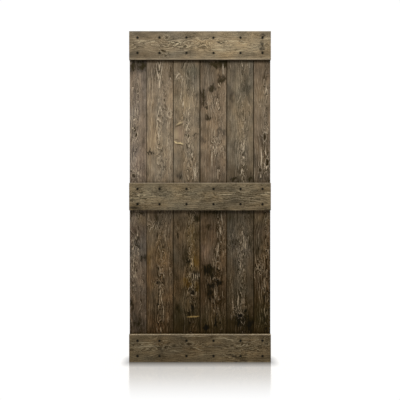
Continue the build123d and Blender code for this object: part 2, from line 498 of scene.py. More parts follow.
        grain=1.5, fleck=0.4, flame=0.2, worn=0.1, rubbed=0.3,
        knots=[
            Knot(52, 242, 18, 16, 0.65), Knot(-36, 221, 9, 24, 0.8, 20), Knot(-66, 236, 12, 11, 0.75),
            Knot(-75, 211, 7, 14, 0.5),
        ],
        lenses=[
            Lens(12, 282, 15, 26, 2.0, 0.3), Lens(8, 322, 15, 28, 2.2, 0.35),
            Lens(0, 356, 8, 24, 1.4, 0.25), Lens(0, 474, 28, 60, 3.2, 0.18),
            Lens(52, 242, 26, 30, 1.6, 0.2), Lens(-40, 225, 26, 34, 1.6, 0.2),
        ],
        strokes=[
            Stroke(27, 659, 2.0, 54, 0.7), Stroke(-30, 580, 2.6, 50, 0.9), Stroke(-38, 612, 2.5, 40, 0.6),
            Stroke(28, 82, 2.5, 75, 0.6), Stroke(24, 150, 3, 16, 0.7), Stroke(18, 285, 2.5, 22, 0.6, 25),
            Stroke(4, 300, 2.5, 26, 0.7, -20), Stroke(16, 322, 3, 22, 0.8, -20),
            Stroke(-30, 716, 3, 28, 0.6), Stroke(24, 740, 3, 20, 0.5, 20),
        ],
        curls=[Curl(10, 300, 22, 60, 0.25), Curl(-40, 220, 40, 40, 0.25), Curl(45, 240, 30, 36, 0.2)],
        clouds=[
            Cloud(18, 582, 4, 22, 0.6), Cloud(-8, 860, 36, 14, 0.6), Cloud(62, 860, 20, 16, 0.45),
            Cloud(22, 728, 9, 12, 0.45), Cloud(-55, 40, 40, 50, 0.25),
        ],
        patches=[
            Patch(-55, 631, 22, 40, 0.4, TAN), Patch(0, 540, 60, 120, 0.2, TAN),
            Patch(0, 700, 140, 270, 0.5, TAN),
        ],
    ),
    "middle_rail": Figure(
        tone=paint(137, 121, 93), heart_across=14, heart_depth=6, sway=12, swell=18, spacing=14, seed=78.5,
        grain=1.6, fleck=0.46, flame=0.05, worn=0.6,
        knots=[
            Knot(8, 529, 8, 20, 0.45), Knot(12, 128, 5, 14, 0.5), Knot(-75, 219, 5, 24, 0.5),
            Knot(-10, 468, 5, 14, 0.45),
        ],
        lenses=[
            Lens(30, 745, 8, 44, 1.6, 0.6), Lens(-5, 60, 26, 60, 2.2, 0.5),
            Lens(28, 296, 8, 120, 1.2, 0.35), Lens(3, 535, 12, 44, 1.6, 0.35),
        ],
        strokes=[
            Stroke(13, 634, 2.5, 60, 0.8), Stroke(30, 745, 3, 36, 0.6), Stroke(26, 896, 4, 24, 0.9),
            Stroke(16, 860, 2.5, 36, 0.6), Stroke(20, 60, 2.5, 40, 0.5), Stroke(-45, 120, 2.5, 60, 0.4),
        ],
        curls=[Curl(-5, 70, 50, 70, 0.5), Curl(-10, 500, 60, 420, 0.2), Curl(-20, 780, 50, 120, 0.45)],
        clouds=[Cloud(-35, 684, 24, 54, 0.35), Cloud(-78, 41, 10, 30, 0.5), Cloud(50, 560, 20, 120, 0.25)],
        patches=[Patch(0, 700, 120, 230, 0.4, UMBER), Patch(-78, 457, 24, 600, 0.3, UMBER)],
    ),
    "bottom_rail": Figure(
        tone=paint(123, 106, 78), heart_across=8, heart_depth=6, sway=14, swell=24, spacing=14, seed=89.1,
        grain=1.55, fleck=0.4, flame=0.25, worn=0.68,
        knots=[Knot(6, 236, 15, 19, 0.7), Knot(27, 384, 14, 22, 0.75), Knot(52, 857, 9, 11, 0.8)],
        lenses=[
            Lens(15, 103, 9, 100, 1.8, 0.6), Lens(6, 236, 24, 34, 1.8, 0.5),
            Lens(20, 410, 22, 44, 2.0, 0.5), Lens(52, 857, 17, 26, 1.8, 0.6),
            Lens(15, 748, 10, 60, 1.4, 0.5),
        ],
        strokes=[
            Stroke(15, 100, 3, 90, 0.8), Stroke(36, 104, 2.5, 80, 0.6), Stroke(3, 70, 2.5, 80, 0.6),
            Stroke(78, 412, 2.5, 90, 0.8), Stroke(-16, 300, 3.5, 40, 0.7), Stroke(55, 653, 3, 60, 0.7, 12),
            Stroke(66, 590, 2.5, 50, 0.6), Stroke(-2, 440, 3, 34, 0.6, 18),
            Stroke(46, 800, 3, 36, 0.6, -14),
        ],
        curls=[Curl(12, 110, 30, 120, 0.6), Curl(-45, 690, 30, 90, 0.9), Curl(20, 800, 50, 90, 0.7)],
        clouds=[
            Cloud(15, 560, 18, 60, 0.3), Cloud(-50, 676, 8, 40, 0.5, 15), Cloud(-5, 200, 18, 24, 0.35),
        ],
        patches=[Patch(10, 310, 80, 110, 0.5, UMBER), Patch(-60, 457, 34, 600, 0.15, TAN)],
    ),
}

# Long waves of the heart's line along a plank, and the width of the figure over the heart
SWAY_WAVE = 160.0
SWELL_WAVE = 230.0
SWELL_LAYER = 31
STILL_SWELL = 0.2  # share of the swell that is left far from the heart
FLAME_WIDTH = 32.0

# Noises in the wood: how wide and long their cells are, the layer they come from and their detail
Weave = namedtuple("Weave", "width length layer detail")
WAVER = Weave(28, 95, 0, 2.0)
JITTER = Weave(9, 26, 7, 1.0)
DRIFT = Weave(30, 40, 29, 2.0)
SWIRL = Weave(12, 70, 19, 2.0)
MOTTLE = Weave(46, 85, 11, 2.0)
STREAK = Weave(10, 300, 3, 3.0)
FIBRE = Weave(4.5, 38, 5, 1.0)
FLECK = Weave(4.5, 8, 17, 1.0)
SHOW = Weave(34, 300, 13, 2.0)
CHILL = Weave(70, 190, 23, 2.0)
LAYER_DEPTH = 40.0  # depth in the wood that moves a noise by one layer

# How far the wander of the fibres shifts the marks
WAVER_BEND = 2.5
JITTER_BEND = 1.5
JITTER_SLIP = 8.0
CALM_SLIP = 3.0
RAGGED_BEND = 11.0
RAGGED_JITTER = 14.0
RAGGED_SLIP = 16.0

# Growth rings that marks and wander add, hairlines in a ring, and how sharp a ring's pale and dark edges are
LENS_RINGS = 0.7
KNOT_RINGS = 1.6
WAVER_RINGS = 0.5
JITTER_RINGS = 0.16
RING_HAIRS = 2.4
HARD_EDGE = 8
SOFT_EDGE = 7

# Boards darken towards their foot
FOOT_DARK = 0.95
FOOT_REACH = 1250.0

# Where the grain shows, and where it is busy
SHOW_LEVEL = 0.6
SHOW_SWING = 0.6
BUSY_FLAME = 2.2
BUSY_GLOW = 0.7

# What the fine grain is made of
FIBRE_SHARE = 0.24
FLECK_SHARE = 0.65
LEAST_FLECK = 0.05
RING_SHARE = 0.25
HAIR_SHARE = 0.6
HALF = 0.5  # middle of a ring, a hairline or a year's brightness

# How the stain varies, and how much it colours the wood
STAIN_LEVEL = 0.52
STAIN_MOTTLE = 0.3
STAIN_STREAK = 0.1
STAIN_YEAR = 0.14
GRAIN_LEVEL = 0.22
GRAIN_SHOW = 0.44
GRAIN_BUSY = 1.25
GRAIN_FOOT = 0.5
STAIN_LEAST = 0.36
STAIN_RANGE = 1.3
CHILL_LEVEL = 0.4
CHILL_SWING = 0.6
PATCH_EDGE = 0.37  # how strongly a patch covers its own edge
PATCH_GRAIN = 0.3

# Pale and dark lines along the rings
LICK_FOOT = 0.3
LICK_CURL = 0.7
LINE_YEAR = 0.62
PALE_LICK = 1.3
PALE_FIBRE = 1.3
DARK_GLOW = 0.9
DARK_LICK = 1.5
RAIL_DARK = 0.6

# Clouds, knots and strokes: strength, breaking up by the grain, cut-off and cover
CLOUD_GAIN = 1.75
CLOUD_FLECK = 0.4
CLOUD_STREAK = 0.5
CLOUD_FIBRE = 0.5
CLOUD_CUT = 0.06
CLOUD_COVER = 0.88
KNOT_GAIN = 2.2
KNOT_FLECK = 0.5
KNOT_CUT = 0.75
KNOT_RING = 0.5
RIM_LEVEL = 0.3
RIM_WIDTH = 0.12
RIM_COVER = 0.5
STROKE_GAIN = 1.3
STROKE_FIBRE = 0.5
STROKE_FLECK = 0.4
STROKE_CUT = 0.1
STROKE_COVER = 0.95
FRINGE_LEVEL = 0.16
FRINGE_WIDTH = 0.13
FRINGE_COVER = 0.6

# Dirt and painted shade beside a rail: its strength and reach close to the rail, and farther from it. Below a
# rail the first is taken away, so that the soot and painted shadow are darkest a little way off
DUST_AND_SHADE_ABOVE = (0.5, 8.0, 0.35, 70.0)
SOOT_AND_SHADOW_BELOW = (-0.35, 14.0, 0.62, 145.0)
DIRT_AND_SHADE_FIBRE = 0.2
SOAK_MOTTLE = 0.1

# Edges: cover on the edge itself, and the reach of its fade
FRONT_COVER = 1.5
FRONT_REACH = 4.0
SEAM_COVER = 1.15
# A rail's upper edge: paler from wear and a painted highlight
WORN_AND_HIGHLIT_COVER = 1.4
WORN_AND_HIGHLIT_REACH = 3.0
WORN_AND_HIGHLIT_STREAK = 0.3
RUBBED_COVER = 1.2
RUBBED_REACH = 8.0
# Painted shade on a rail's underside
UNDERSIDE_SHADE_COVER = 0.8
END_REACH = 1.5

# Painted shade in and round the countersinks
SINK_SHADE_RADIUS = 6.4
SINK_SHADE_STRENGTH = 2.4

# Relief and sheen of the brushed face
RELIEF_HARD = 0.5
RELIEF_FIBRE = 0.25
RELIEF_STREAK = 0.15
RELIEF_KNOT = 0.3
RELIEF_STRENGTH = 0.6
RELIEF_HEIGHT = 0.6
ROUGHNESS = 0.74
ROUGH_FIBRE = 0.06
SMOOTH_STROKE = 0.1
WOOD_SPECULAR = 0.08


class Plank:
    """Where one board or rail lies, with its own measures."""

    def __init__(self, node):
        low, high = (np.array(corner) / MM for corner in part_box(node))
        self.node = node
        self.upright = node in BOARDS
        self.grooved = self.upright and node != BOARDS[0]
        self.tongued = self.upright and node != BOARDS[-1]
        self.face = low[1]
        self.thickness = high[1] - low[1]
        sides = (0, 2) if self.upright else (2, 0)
        edge_low = low[sides[0]]
        edge_high = high[sides[0]] - (TONGUE_LENGTH if self.tongued else 0.0)
        self.middle = (edge_low + edge_high) / 2
        self.half_width = (edge_high - edge_low) / 2
        self.start = low[sides[1]]
        self.length = high[sides[1]] - low[sides[1]]
        self.figure = FIGURES[node]

    def place(self, across, along, depth):
        """The plank's own measures as places in the frame, in metres."""
        sideways = (across + self.middle) * MM
        lengthways = (along + self.start) * MM
        inward = (depth + self.face) * MM
        columns = (sideways, inward, lengthways) if self.upright else (lengthways, inward, sideways)
        return np.stack(columns, axis=-1)

    def measures(self, shader):
        """The plank's own measures at a point of its surface, in a shader."""
        spot_m = shader.output("TexCoord", {}, {}, "Object")
        split = shader.node("SeparateXYZ", {}, {"Vector": spot_m})
        x, y, z = (Value(shader, output) for output in split.outputs)
        sideways, lengthways = (x, z) if self.upright else (z, x)
        return sideways / MM - self.middle, lengthways / MM - self.start, y / MM - self.face


def heart_distance(across, along, depth, figure):
    """Growth rings counted from the log's heart, which strays along the plank, and how near the heart is."""
    shader = across.shader
    sway = figure.sway * shader.noise(0.0, along / SWAY_WAVE, figure.seed, 1.0)
    swell = figure.swell * shader.noise(0.0, along / SWELL_WAVE, figure.seed + SWELL_LAYER, 1.0)
    aside = across - sway - figure.heart_across
    below = depth + figure.heart_depth
    flame = shader.decay((aside / FLAME_WIDTH) ** 2)
    spread = (aside ** 2 + below ** 2).math("SQRT") + (STILL_SWELL + (1 - STILL_SWELL) * flame) * swell
    return spread / figure.spacing, flame


def dirt_and_painted_shade(shader, along, plank):
    """Dirt and painted shade on a board's face, next to the edges of the rails that lie on it."""
    dirt_and_shade = 0.0
    for node in RAILS:
        rail = planks[node]
        upper_gap = along - (rail.middle + rail.half_width - plank.start)
        lower_gap = rail.middle - rail.half_width - plank.start - along
        for gap, near, near_reach, far, far_reach in ((upper_gap, *DUST_AND_SHADE_ABOVE), (lower_gap, *SOOT_AND_SHADOW_BELOW)):
            outside = gap.math("MAXIMUM", 0.0)
            shade = near * shader.decay(outside / near_reach) + far * shader.decay(outside / far_reach)
            dirt_and_shade = dirt_and_shade + shade * gap.math("GREATER_THAN", 0.0)
    return dirt_and_shade


class Pine:
    """Brushed, stained knotty pine on a plank: pale hard rings, darker soft wood, dark knots and clouds."""

    def __init__(self, plank):
        self.plank = plank
        self.figure = plank.figure
        self.material, self.shader = new_finish(plank.node + "_pine")
        self.across, self.along, self.depth = plank.measures(self.shader)
        self.lift = self.depth / LAYER_DEPTH + self.figure.seed
        self.foot = self.shader.clip(FOOT_DARK - self.along / FOOT_REACH) if plank.upright else 0.0
        self.follow_fibres()
        self.lay_marks()
        self.count_rings()
        self.find_grain()

    def weave(self, noise):
        """One of the noises in the wood."""
        across, along = self.across / noise.width, self.along / noise.length
        return self.shader.noise(across, along, self.lift + noise.layer, noise.detail)

    def plan(self, across, along):
        """A place on the face that marks are laid by."""
        return self.shader.output("CombineXYZ", {}, {0: across, 1: along})

    def follow_fibres(self):
        """The way the fibres wander, and the places of the marks as they follow it."""
        self.waver = self.weave(WAVER)
        self.jitter = self.weave(JITTER)
        drift = self.weave(DRIFT)
        self.bent = self.across + WAVER_BEND * self.waver + JITTER_BEND * self.jitter
        self.shifted = self.plan(self.bent, self.along + JITTER_SLIP * self.jitter)
        self.calm = self.plan(self.across + WAVER_BEND * self.waver, self.along + CALM_SLIP * self.waver)
        slipped = self.along + RAGGED_JITTER * self.jitter - RAGGED_SLIP * drift
        self.ragged = self.plan(self.bent + RAGGED_BEND * drift, slipped)

    def lay_marks(self):
        """How strongly each kind of mark covers a point."""
        figure, shader = self.figure, self.shader
        self.knotty = shader.cover(self.shifted, figure.knots)
        self.curly = shader.cover(self.shifted, figure.curls)
        self.cloudy = shader.cover(self.ragged, figure.clouds)
        self.stroke = shader.cover(self.shifted, figure.strokes)
        self.lens_rings = 0.0
        self.glow = 0.0
        for lens in figure.lenses:
            bell = shader.bell(self.shifted, lens)
            self.lens_rings = self.lens_rings + LENS_RINGS * lens.rings * bell
            self.glow = self.glow + lens.glow * bell

    def count_rings(self):
        """Growth rings, each with a brightness of its own, and the hairlines in them."""
        swirl = self.weave(SWIRL)
        heart_rings, self.flame = heart_distance(self.bent, self.along, self.depth, self.figure)
        rings = heart_rings + self.lens_rings + KNOT_RINGS * self.knotty + self.curly * swirl
        rings = rings + WAVER_RINGS * self.waver + JITTER_RINGS * self.jitter
        number = rings.math("FLOOR") + self.figure.seed
        self.ring = rings.math("FRACT")
        self.year = self.shader.output("TexWhiteNoise", {"noise_dimensions": "1D"}, {"W": number})
        self.hair = (RING_HAIRS * rings).math("FRACT")
        self.hard = self.ring ** HARD_EDGE
        self.soft = (1 - self.ring) ** SOFT_EDGE

    def find_grain(self):
        """The fine grain, and where it shows and is busy."""
        figure, shader = self.figure, self.shader
        self.mottle = self.weave(MOTTLE)
        self.streak = self.weave(STREAK)
        self.fibre = self.weave(FIBRE)
        self.fleck = self.weave(FLECK)
        self.show = shader.clip(SHOW_LEVEL + SHOW_SWING * self.weave(SHOW))
        flame = BUSY_FLAME * figure.flame * self.flame * self.show
        self.busy = shader.clip(flame + self.curly + BUSY_GLOW * self.glow)
        flecks = FLECK_SHARE * (figure.fleck + LEAST_FLECK) * self.fleck
        lines = RING_SHARE * (self.ring - HALF) + HAIR_SHARE * (self.hair - HALF)
        self.fine = FIBRE_SHARE * self.fibre + flecks + lines

    def stained(self):
        """The colour of the stain, taken up unevenly, with patches of other colours."""
        figure, shader = self.figure, self.shader
        cloudiness = STAIN_MOTTLE * self.mottle + STAIN_STREAK * self.streak + STAIN_YEAR * (self.year - HALF)
        contrast = figure.grain * (1 + GRAIN_FOOT * self.foot)
        contrast = contrast * (GRAIN_LEVEL + GRAIN_SHOW * self.show + GRAIN_BUSY * self.busy)
        stain = STAIN_LEVEL + cloudiness + contrast * self.fine
        tone = figure.tone
        for patch in figure.patches:
            if patch.edge == 1:
                reach = shader.clip(patch.strength * shader.bell(self.ragged, patch))
                tone = shader.mix(reach, tone, patch.colour)
        colour = shader.mix(1.0, tone, STAIN_LEAST + STAIN_RANGE * shader.clip(stain), "MULTIPLY")
        chill = shader.clip(CHILL_LEVEL + CHILL_SWING * self.weave(CHILL))
        colour = shader.mix(chill, colour, COOL, "MULTIPLY")
        for patch in figure.patches:
            if patch.edge > 1:
                reach = shader.clip(patch.edge * (shader.bell(self.calm, patch) - PATCH_EDGE) + PATCH_EDGE)
                cover = shader.clip(patch.strength * reach * (1 + PATCH_GRAIN * self.fine))
                colour = shader.mix(cover, colour, patch.colour)
        return colour

    def lined(self, colour):
        """The same with the dark and pale lines of the rings, then clouds, knots and pale strokes."""
        figure, shader = self.figure, self.shader
        upright = self.plank.upright
        pale = shader.mix(self.foot, LINE_PALE, LINE_GREY) if upright else LINE_TAN
        licks = (1 + LICK_FOOT * self.foot) * (figure.flame * self.flame * self.show + LICK_CURL * self.curly)
        years = LINE_YEAR * self.show * self.year
        dark_lines = (1.0 if upright else RAIL_DARK) * (years + DARK_GLOW * self.glow + DARK_LICK * licks)
        pale_lines = (years + self.glow + PALE_LICK * licks) * (1 + PALE_FIBRE * self.fibre)
        colour = shader.mix(shader.clip(self.soft * dark_lines), colour, LINE_DARK)
        colour = shader.mix(shader.clip(self.hard * pale_lines), colour, pale)

        broken = 1 + CLOUD_FLECK * self.fleck + CLOUD_STREAK * self.streak + CLOUD_FIBRE * self.fibre
        sooty = shader.clip(CLOUD_GAIN * self.cloudy * broken - CLOUD_CUT)
        colour = shader.mix(CLOUD_COVER * sooty, colour, CLOUD_BLACK)

        dark_knot = KNOT_GAIN * self.knotty * (1 + KNOT_FLECK * self.fleck)
        self.core = shader.clip(dark_knot - KNOT_CUT + KNOT_RING * (self.ring - HALF))
        rim = shader.clip(1 - abs(self.knotty - RIM_LEVEL) / RIM_WIDTH)
        colour = shader.mix(RIM_COVER * rim * self.show, colour, pale)
        colour = shader.mix(self.core, colour, KNOT_BROWN)

        broken = 1 + STROKE_FIBRE * self.fibre + STROKE_FLECK * self.fleck
        self.bright = shader.clip(STROKE_GAIN * self.stroke * broken - STROKE_CUT)
        fringe = shader.clip(1 - abs(self.stroke - FRINGE_LEVEL) / FRINGE_WIDTH)
        colour = shader.mix(FRINGE_COVER * fringe, colour, LINE_DARK)
        return shader.mix(STROKE_COVER * self.bright, colour, pale)

    def soiled_and_shaded_board(self, colour, front):
        """A board's colour, soaked darker at its foot, dirty and darkened with painted shade beside the
        rails, and dark in its seams.
        """
        plank, figure, shader = self.plank, self.figure, self.shader
        soaked = 1 + figure.soak * self.foot * (1 + SOAK_MOTTLE * self.mottle)
        colour = shader.output("Gamma", {}, {"Color": colour, "Gamma": soaked})
        # Dirt and painted shade beside the rails, on the front face only
        dirt_and_shade = front * dirt_and_painted_shade(shader, self.along, plank) * (1 - DIRT_AND_SHADE_FIBRE * self.fibre)
        colour = shader.mix(shader.clip(dirt_and_shade), colour, GRIME_AND_SHADE, "MULTIPLY")
        seams = []
        if plank.grooved:
            seams.append((self.across + plank.half_width, figure.seam))
        if plank.tongued:
            next_board = BOARDS[BOARDS.index(plank.node) + 1]
            seams.append((plank.half_width - self.across, FIGURES[next_board].seam))
        for gap, reach in seams:
            colour = shader.mix(shader.clip(SEAM_COVER - gap / reach), colour, SEAM_BROWN)
        return colour

    def rail_wear_and_shade(self, colour, front):
        """A rail's colour, pale on its worn edges, the upper one also with a painted highlight, and darkened
        with painted shade on its underside and round its screws.
        """
        plank, figure, shader = self.plank, self.figure, self.shader
        upper_gap = plank.half_width - self.across
        lower_gap = plank.half_width + self.across
        # Wear and a painted highlight along the upper edge, where light from above catches its rounding
        worn = shader.clip(WORN_AND_HIGHLIT_COVER - upper_gap / WORN_AND_HIGHLIT_REACH) * front
        colour = shader.mix(worn * shader.clip(figure.worn + WORN_AND_HIGHLIT_STREAK * self.streak), colour, LINE_PALE)
        # Painted shade on the rail's underside, which faces down
        underside = shader.clip(self.depth - RAIL_ARRIS) * shader.clip(1 - lower_gap)
        colour = shader.mix(UNDERSIDE_SHADE_COVER * underside, colour, GRIME_AND_SHADE, "MULTIPLY")
        rubbed = shader.clip(RUBBED_COVER - lower_gap / RUBBED_REACH) * front
        colour = shader.mix(figure.rubbed * rubbed, colour, LINE_PALE)
        # Painted shade round each screw, in its countersink
        face = self.plan(self.across, self.along)
        sink_shades = [Cloud(*place, SINK_SHADE_RADIUS, SINK_SHADE_RADIUS, SINK_SHADE_STRENGTH) for place in screw_places(plank)]
        return shader.mix(front * shader.clip(shader.cover(face, sink_shades)), colour, NAIL_AND_SHADE_BLACK)

    def warmed(self, colour):
        """The same with dark stain warmer than pale wood."""
        light = self.shader.output("RGBToBW", {}, {"Color": colour})
        tint = self.shader.mix(self.shader.decay((light / DARK_STAIN) ** 2), PALE_TINT, DARK_TINT)
        return self.shader.mix(1.0, colour, tint, "MULTIPLY")

    def finish(self):
        """The finished material."""
        plank, shader = self.plank, self.shader
        colour = self.lined(self.stained())
        front = shader.clip(FRONT_COVER - self.depth / FRONT_REACH)
        colour = self.soiled_and_shaded_board(colour, front) if plank.upright else self.rail_wear_and_shade(colour, front)
        end_gap = abs(self.along - plank.length / 2) - plank.length / 2
        colour = shader.mix(shader.clip(1 + end_gap / END_REACH), colour, END_GRAIN, "MULTIPLY")
        colour = self.warmed(colour)
        relief = RELIEF_HARD * self.hard + RELIEF_FIBRE * self.fibre
        relief = relief + RELIEF_STREAK * self.streak - RELIEF_KNOT * self.core
        bump = {"Strength": RELIEF_STRENGTH, "Distance": RELIEF_HEIGHT * MM, "Height": relief}
        wood = shader.output("BsdfPrincipled", {}, {
            "Base Color": colour,
            "Roughness": shader.clip(ROUGHNESS + ROUGH_FIBRE * self.fibre - SMOOTH_STROKE * self.bright),
            "Specular IOR Level": WOOD_SPECULAR,
            "Normal": shader.output("Bump", {}, bump),
        })
        shader.node("OutputMaterial", {}, {"Surface": wood})
        return self.material


def stations(low, high, step, close_ups=()):
    """Mesh lines from low to high, closer together near each close-up."""
    lines = np.linspace(low, high, max(2, round((high - low) / step) + 1))
    for middle in close_ups:
        lines = lines[abs(lines - middle) > HOLE_REACH + HOLE_STEP / 2]
        fine = np.arange(-HOLE_REACH, HOLE_REACH + HOLE_STEP / 2, HOLE_STEP) + middle
        lines = np.concatenate([lines, fine])
    return np.sort(lines)


def ease(share):
    """A share from 0 to 1 that starts and ends slowly."""
    return share * share * (3 - 2 * share)


# Brushing and wear of a face: cells of its broad swells and brushed grooves, and how deep each takes it
LATTICE = 64
SWELL_CELL = (45, 260)
GROOVE_CELL = (6, 170)
SEED_SPREAD = 10
WEAR_LEVEL = 0.35
WEAR_SWELL = 0.2
WEAR_GROOVE = 0.18
WEAR_SPARED = 0.3
STROKE_SPARED = 0.6
DEEPEST_WEAR = 1.0
BACK_WEAR = 0.5
BOARD_END_EASE = 0.8

# Countersinks in a rail's mesh, under the screws
SINK_DROP = 0.2
SINK_BED = 2.6
SHARP_CORNER = math.radians(28)


def lattice_noise(across, along, cell, seed):
    """Smooth swells from -1 to 1 on a lattice of random heights."""
    heights = np.random.default_rng(seed).uniform(-1, 1, (LATTICE, LATTICE))
    column, row = across / cell[0], along / cell[1]
    left, below = np.floor(column).astype(int), np.floor(row).astype(int)
    right_share, above_share = ease(column - left), ease(row - below)

    def height(aside, up):
        return heights[(left + aside) % LATTICE, (below + up) % LATTICE]

    low = height(0, 0) * (1 - right_share) + height(1, 0) * right_share
    high = height(0, 1) * (1 - right_share) + height(1, 1) * right_share
    return low * (1 - above_share) + high * above_share


def rise(marks, across, along):
    """How far the marks of one kind lift the face, taken together."""
    lifted = 0.0
    for mark in marks:
        turn = math.radians(mark.tilt)
        right, up = across - mark.across, along - mark.along
        sideways = (right * math.cos(turn) + up * math.sin(turn)) / mark.half_width
        lengthways = (up * math.cos(turn) - right * math.sin(turn)) / mark.half_length
        lifted = lifted + np.exp(-sideways ** 2 - lengthways ** 2)
    return lifted


def brushed_depth(across, along, figure):
    """How deep brushing and wear took the face: soft wood is hollowed, knots and strokes stand proud."""
    seed = round(figure.seed * SEED_SPREAD)
    swell = lattice_noise(across, along, SWELL_CELL, seed)
    groove = lattice_noise(across, along, GROOVE_CELL, seed + 1)
    spared = rise(figure.knots, across, along) + STROKE_SPARED * rise(figure.strokes, across, along)
    worn = WEAR_LEVEL + WEAR_SWELL * swell + WEAR_GROOVE * groove - WEAR_SPARED * np.clip(spared, 0, 1)
    return np.clip(worn, 0, DEEPEST_WEAR)


def board_outline(plank):
    """The section of a board: across and depth of each point, and which lie on the face or the back."""
    half, thick = plank.half_width, plank.thickness
    face = stations(SEAM_CHAMFER - half, half - SEAM_CHAMFER, FACE_STEP)
    back = stations(BACK_CHAMFER - half, half - BACK_CHAMFER, BACK_STEP)[::-1]
    tongue_top = (thick - TONGUE_THICKNESS) / 2
    tongue_low = (thick + TONGUE_THICKNESS) / 2
    mouth_top = (thick - GROOVE_MOUTH) / 2
    mouth_low = (thick + GROOVE_MOUTH) / 2
    right = [(half, SEAM_CHAMFER)]
    if plank.tongued:
        tip = half + TONGUE_LENGTH
        right += [
            (half, tongue_top), (tip - TONGUE_CHAMFER, tongue_top), (tip, tongue_top + TONGUE_CHAMFER),
            (tip, tongue_low - TONGUE_CHAMFER), (tip - TONGUE_CHAMFER, tongue_low), (half, tongue_low),
        ]
    right += [(half, thick - BACK_CHAMFER)]
    left = [(-half, thick - BACK_CHAMFER)]
    if plank.grooved:
        bed = GROOVE_DEPTH - half
        left += [(-half, mouth_low), (bed, mouth_low), (bed, mouth_top), (-half, mouth_top)]
    left += [(-half, SEAM_CHAMFER)]
    across = np.concatenate([face, [p[0] for p in right], back, [p[0] for p in left]])
    depth = np.concatenate([0 * face, [p[1] for p in right], 0 * back + thick, [p[1] for p in left]])
    on_face = np.arange(len(across)) < len(face)
    on_back = depth == thick
    return across, depth, on_face, on_back


def rail_outline(plank):
    """The section of a rail, with its two front edges rounded over."""
    half, thick = plank.half_width, plank.thickness
    rows = (-SCREW_ROW_SPACING / 2, SCREW_ROW_SPACING / 2)
    face = stations(RAIL_ARRIS - half, half - RAIL_ARRIS, FACE_STEP, rows)
    turn = np.linspace(0, math.pi / 2, ARRIS_STEPS + 1)[1:]
    round_across = half - RAIL_ARRIS + RAIL_ARRIS * np.sin(turn)
    round_depth = RAIL_ARRIS - RAIL_ARRIS * np.cos(turn)
    side = np.linspace(RAIL_ARRIS, thick, SIDE_LINES)[1:]
    back = stations(-half, half, BACK_STEP)[::-1][1:-1]
    across = np.concatenate([
        face, round_across, 0 * side + half, back, 0 * side - half, -round_across[::-1],
    ])
    depth = np.concatenate([
        0 * face, round_depth, side, 0 * back + thick, side[::-1], round_depth[::-1],
    ])
    on_face = np.arange(len(across)) < len(face)
    on_back = depth == thick
    return across, depth, on_face, on_back


def screw_places(plank):
    """Across and along of the screws in a rail, two in front of each board's middle."""
    columns = [board.middle - plank.start for board in planks.values() if board.upright]
    return [(side * SCREW_ROW_SPACING / 2, column) for column in columns for side in (-1, 1)]


def round_over(distance):
    """Depth of a rounded edge, at a distance from the end of the wood."""
    inside = np.clip(RAIL_ARRIS - distance, 0, RAIL_ARRIS)
    return RAIL_ARRIS - np.sqrt(RAIL_ARRIS ** 2 - inside ** 2)


def plank_mesh(plank):
    """A board or rail with its worn face, as one closed mesh."""
    outline = board_outline(plank) if plank.upright else rail_outline(plank)
    section_across, section_depth, on_face, on_back = outline
    screws = [] if plank.upright else screw_places(plank)
    columns = sorted({column for _, column in screws})
    rows = stations(0, plank.length, LENGTH_STEP, columns)
    end_turn = RAIL_ARRIS - RAIL_ARRIS * np.sin(np.linspace(0, math.pi / 2, ARRIS_STEPS + 1)[1:])
    rows = np.unique(np.concatenate([rows, end_turn, plank.length - end_turn]))

    across = np.tile(section_across, (len(rows), 1))
    along = np.tile(rows[:, None], (1, len(section_across)))
    depth = np.tile(section_depth, (len(rows), 1))
    for screw_across, screw_along in screws:
        aside, up = across - screw_across, along - screw_along
        reach = np.hypot(aside, up)
        rim = on_face & (abs(reach - COUNTERSINK_RADIUS) < HOLE_STEP / 2)
        across[rim] = screw_across + (aside * COUNTERSINK_RADIUS / np.maximum(reach, HOLE_STEP))[rim]
        along[rim] = screw_along + (up * COUNTERSINK_RADIUS / np.maximum(reach, HOLE_STEP))[rim]

    worn = brushed_depth(across, along, plank.figure)
    depth = np.where(on_face, depth + worn, np.where(on_back, depth - BACK_WEAR * worn, depth))
    end_gap = np.minimum(along, plank.length - along)
    if plank.upright:
        depth = np.where(on_face, np.maximum(depth, BOARD_END_EASE - end_gap), depth)
    else:
        depth = np.maximum(depth, round_over(end_gap))
    for screw_across, screw_along in screws:
        reach = np.hypot(across - screw_across, along - screw_along)
        sunk = np.clip(COUNTERSINK_RADIUS - reach, 0, SINK_BED)
        depth = np.where(on_face & (sunk > 0), np.maximum(depth, sunk + SINK_DROP), depth)

    count, loop = across.shape
    corners = np.arange(count * loop).reshape(count, loop)
    nextward = np.roll(corners, -1, axis=1)
    quads = np.stack([corners[:-1], nextward[:-1], nextward[1:], corners[1:]], axis=-1).reshape(-1, 4)
    faces = quads.tolist() + [corners[0, ::-1].tolist(), corners[-1].tolist()]
    if not plank.upright:
        faces = [face[::-1] for face in faces]
    mesh = bpy.data.meshes.new(plank.node + "_brushed")
    mesh.from_pydata(plank.place(across, along, depth).reshape(-1, 3), [], faces)
    mesh.shade_smooth()
    mesh.set_sharp_from_angle(angle=SHARP_CORNER)
    return mesh


def add_piece(name, mesh, material):
    """A piece of the door in the scene, riding on its body."""
    mesh.materials.append(material)
    piece = bpy.data.objects.new(name, mesh)
    bpy.context.scene.collection.objects.link(piece)
    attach(piece, "root")
    return piece


# Screws: black, countersunk, with a cross recess
HEAD_RADIUS = 4.4
HEAD_SINK = 0.35
HEAD_EDGE = 0.25
SHANK_RADIUS = 2.0
SHANK_END = 9.0
RECESS_DEPTH = 1.6
RECESS_ARM = 2.3
RECESS_WAIST = 0.75
RECESS_SHARPNESS = 5
RECESS_FLOOR = 0.5  # share of the recess's opening at its bottom
RECESS_BEND = (0.9, 0.6)  # share of its opening, and of its depth, where its walls turn in
SCREW_SIDES = 32
SCREW_SEED = 5
SCREW_CORNER = math.radians(30)

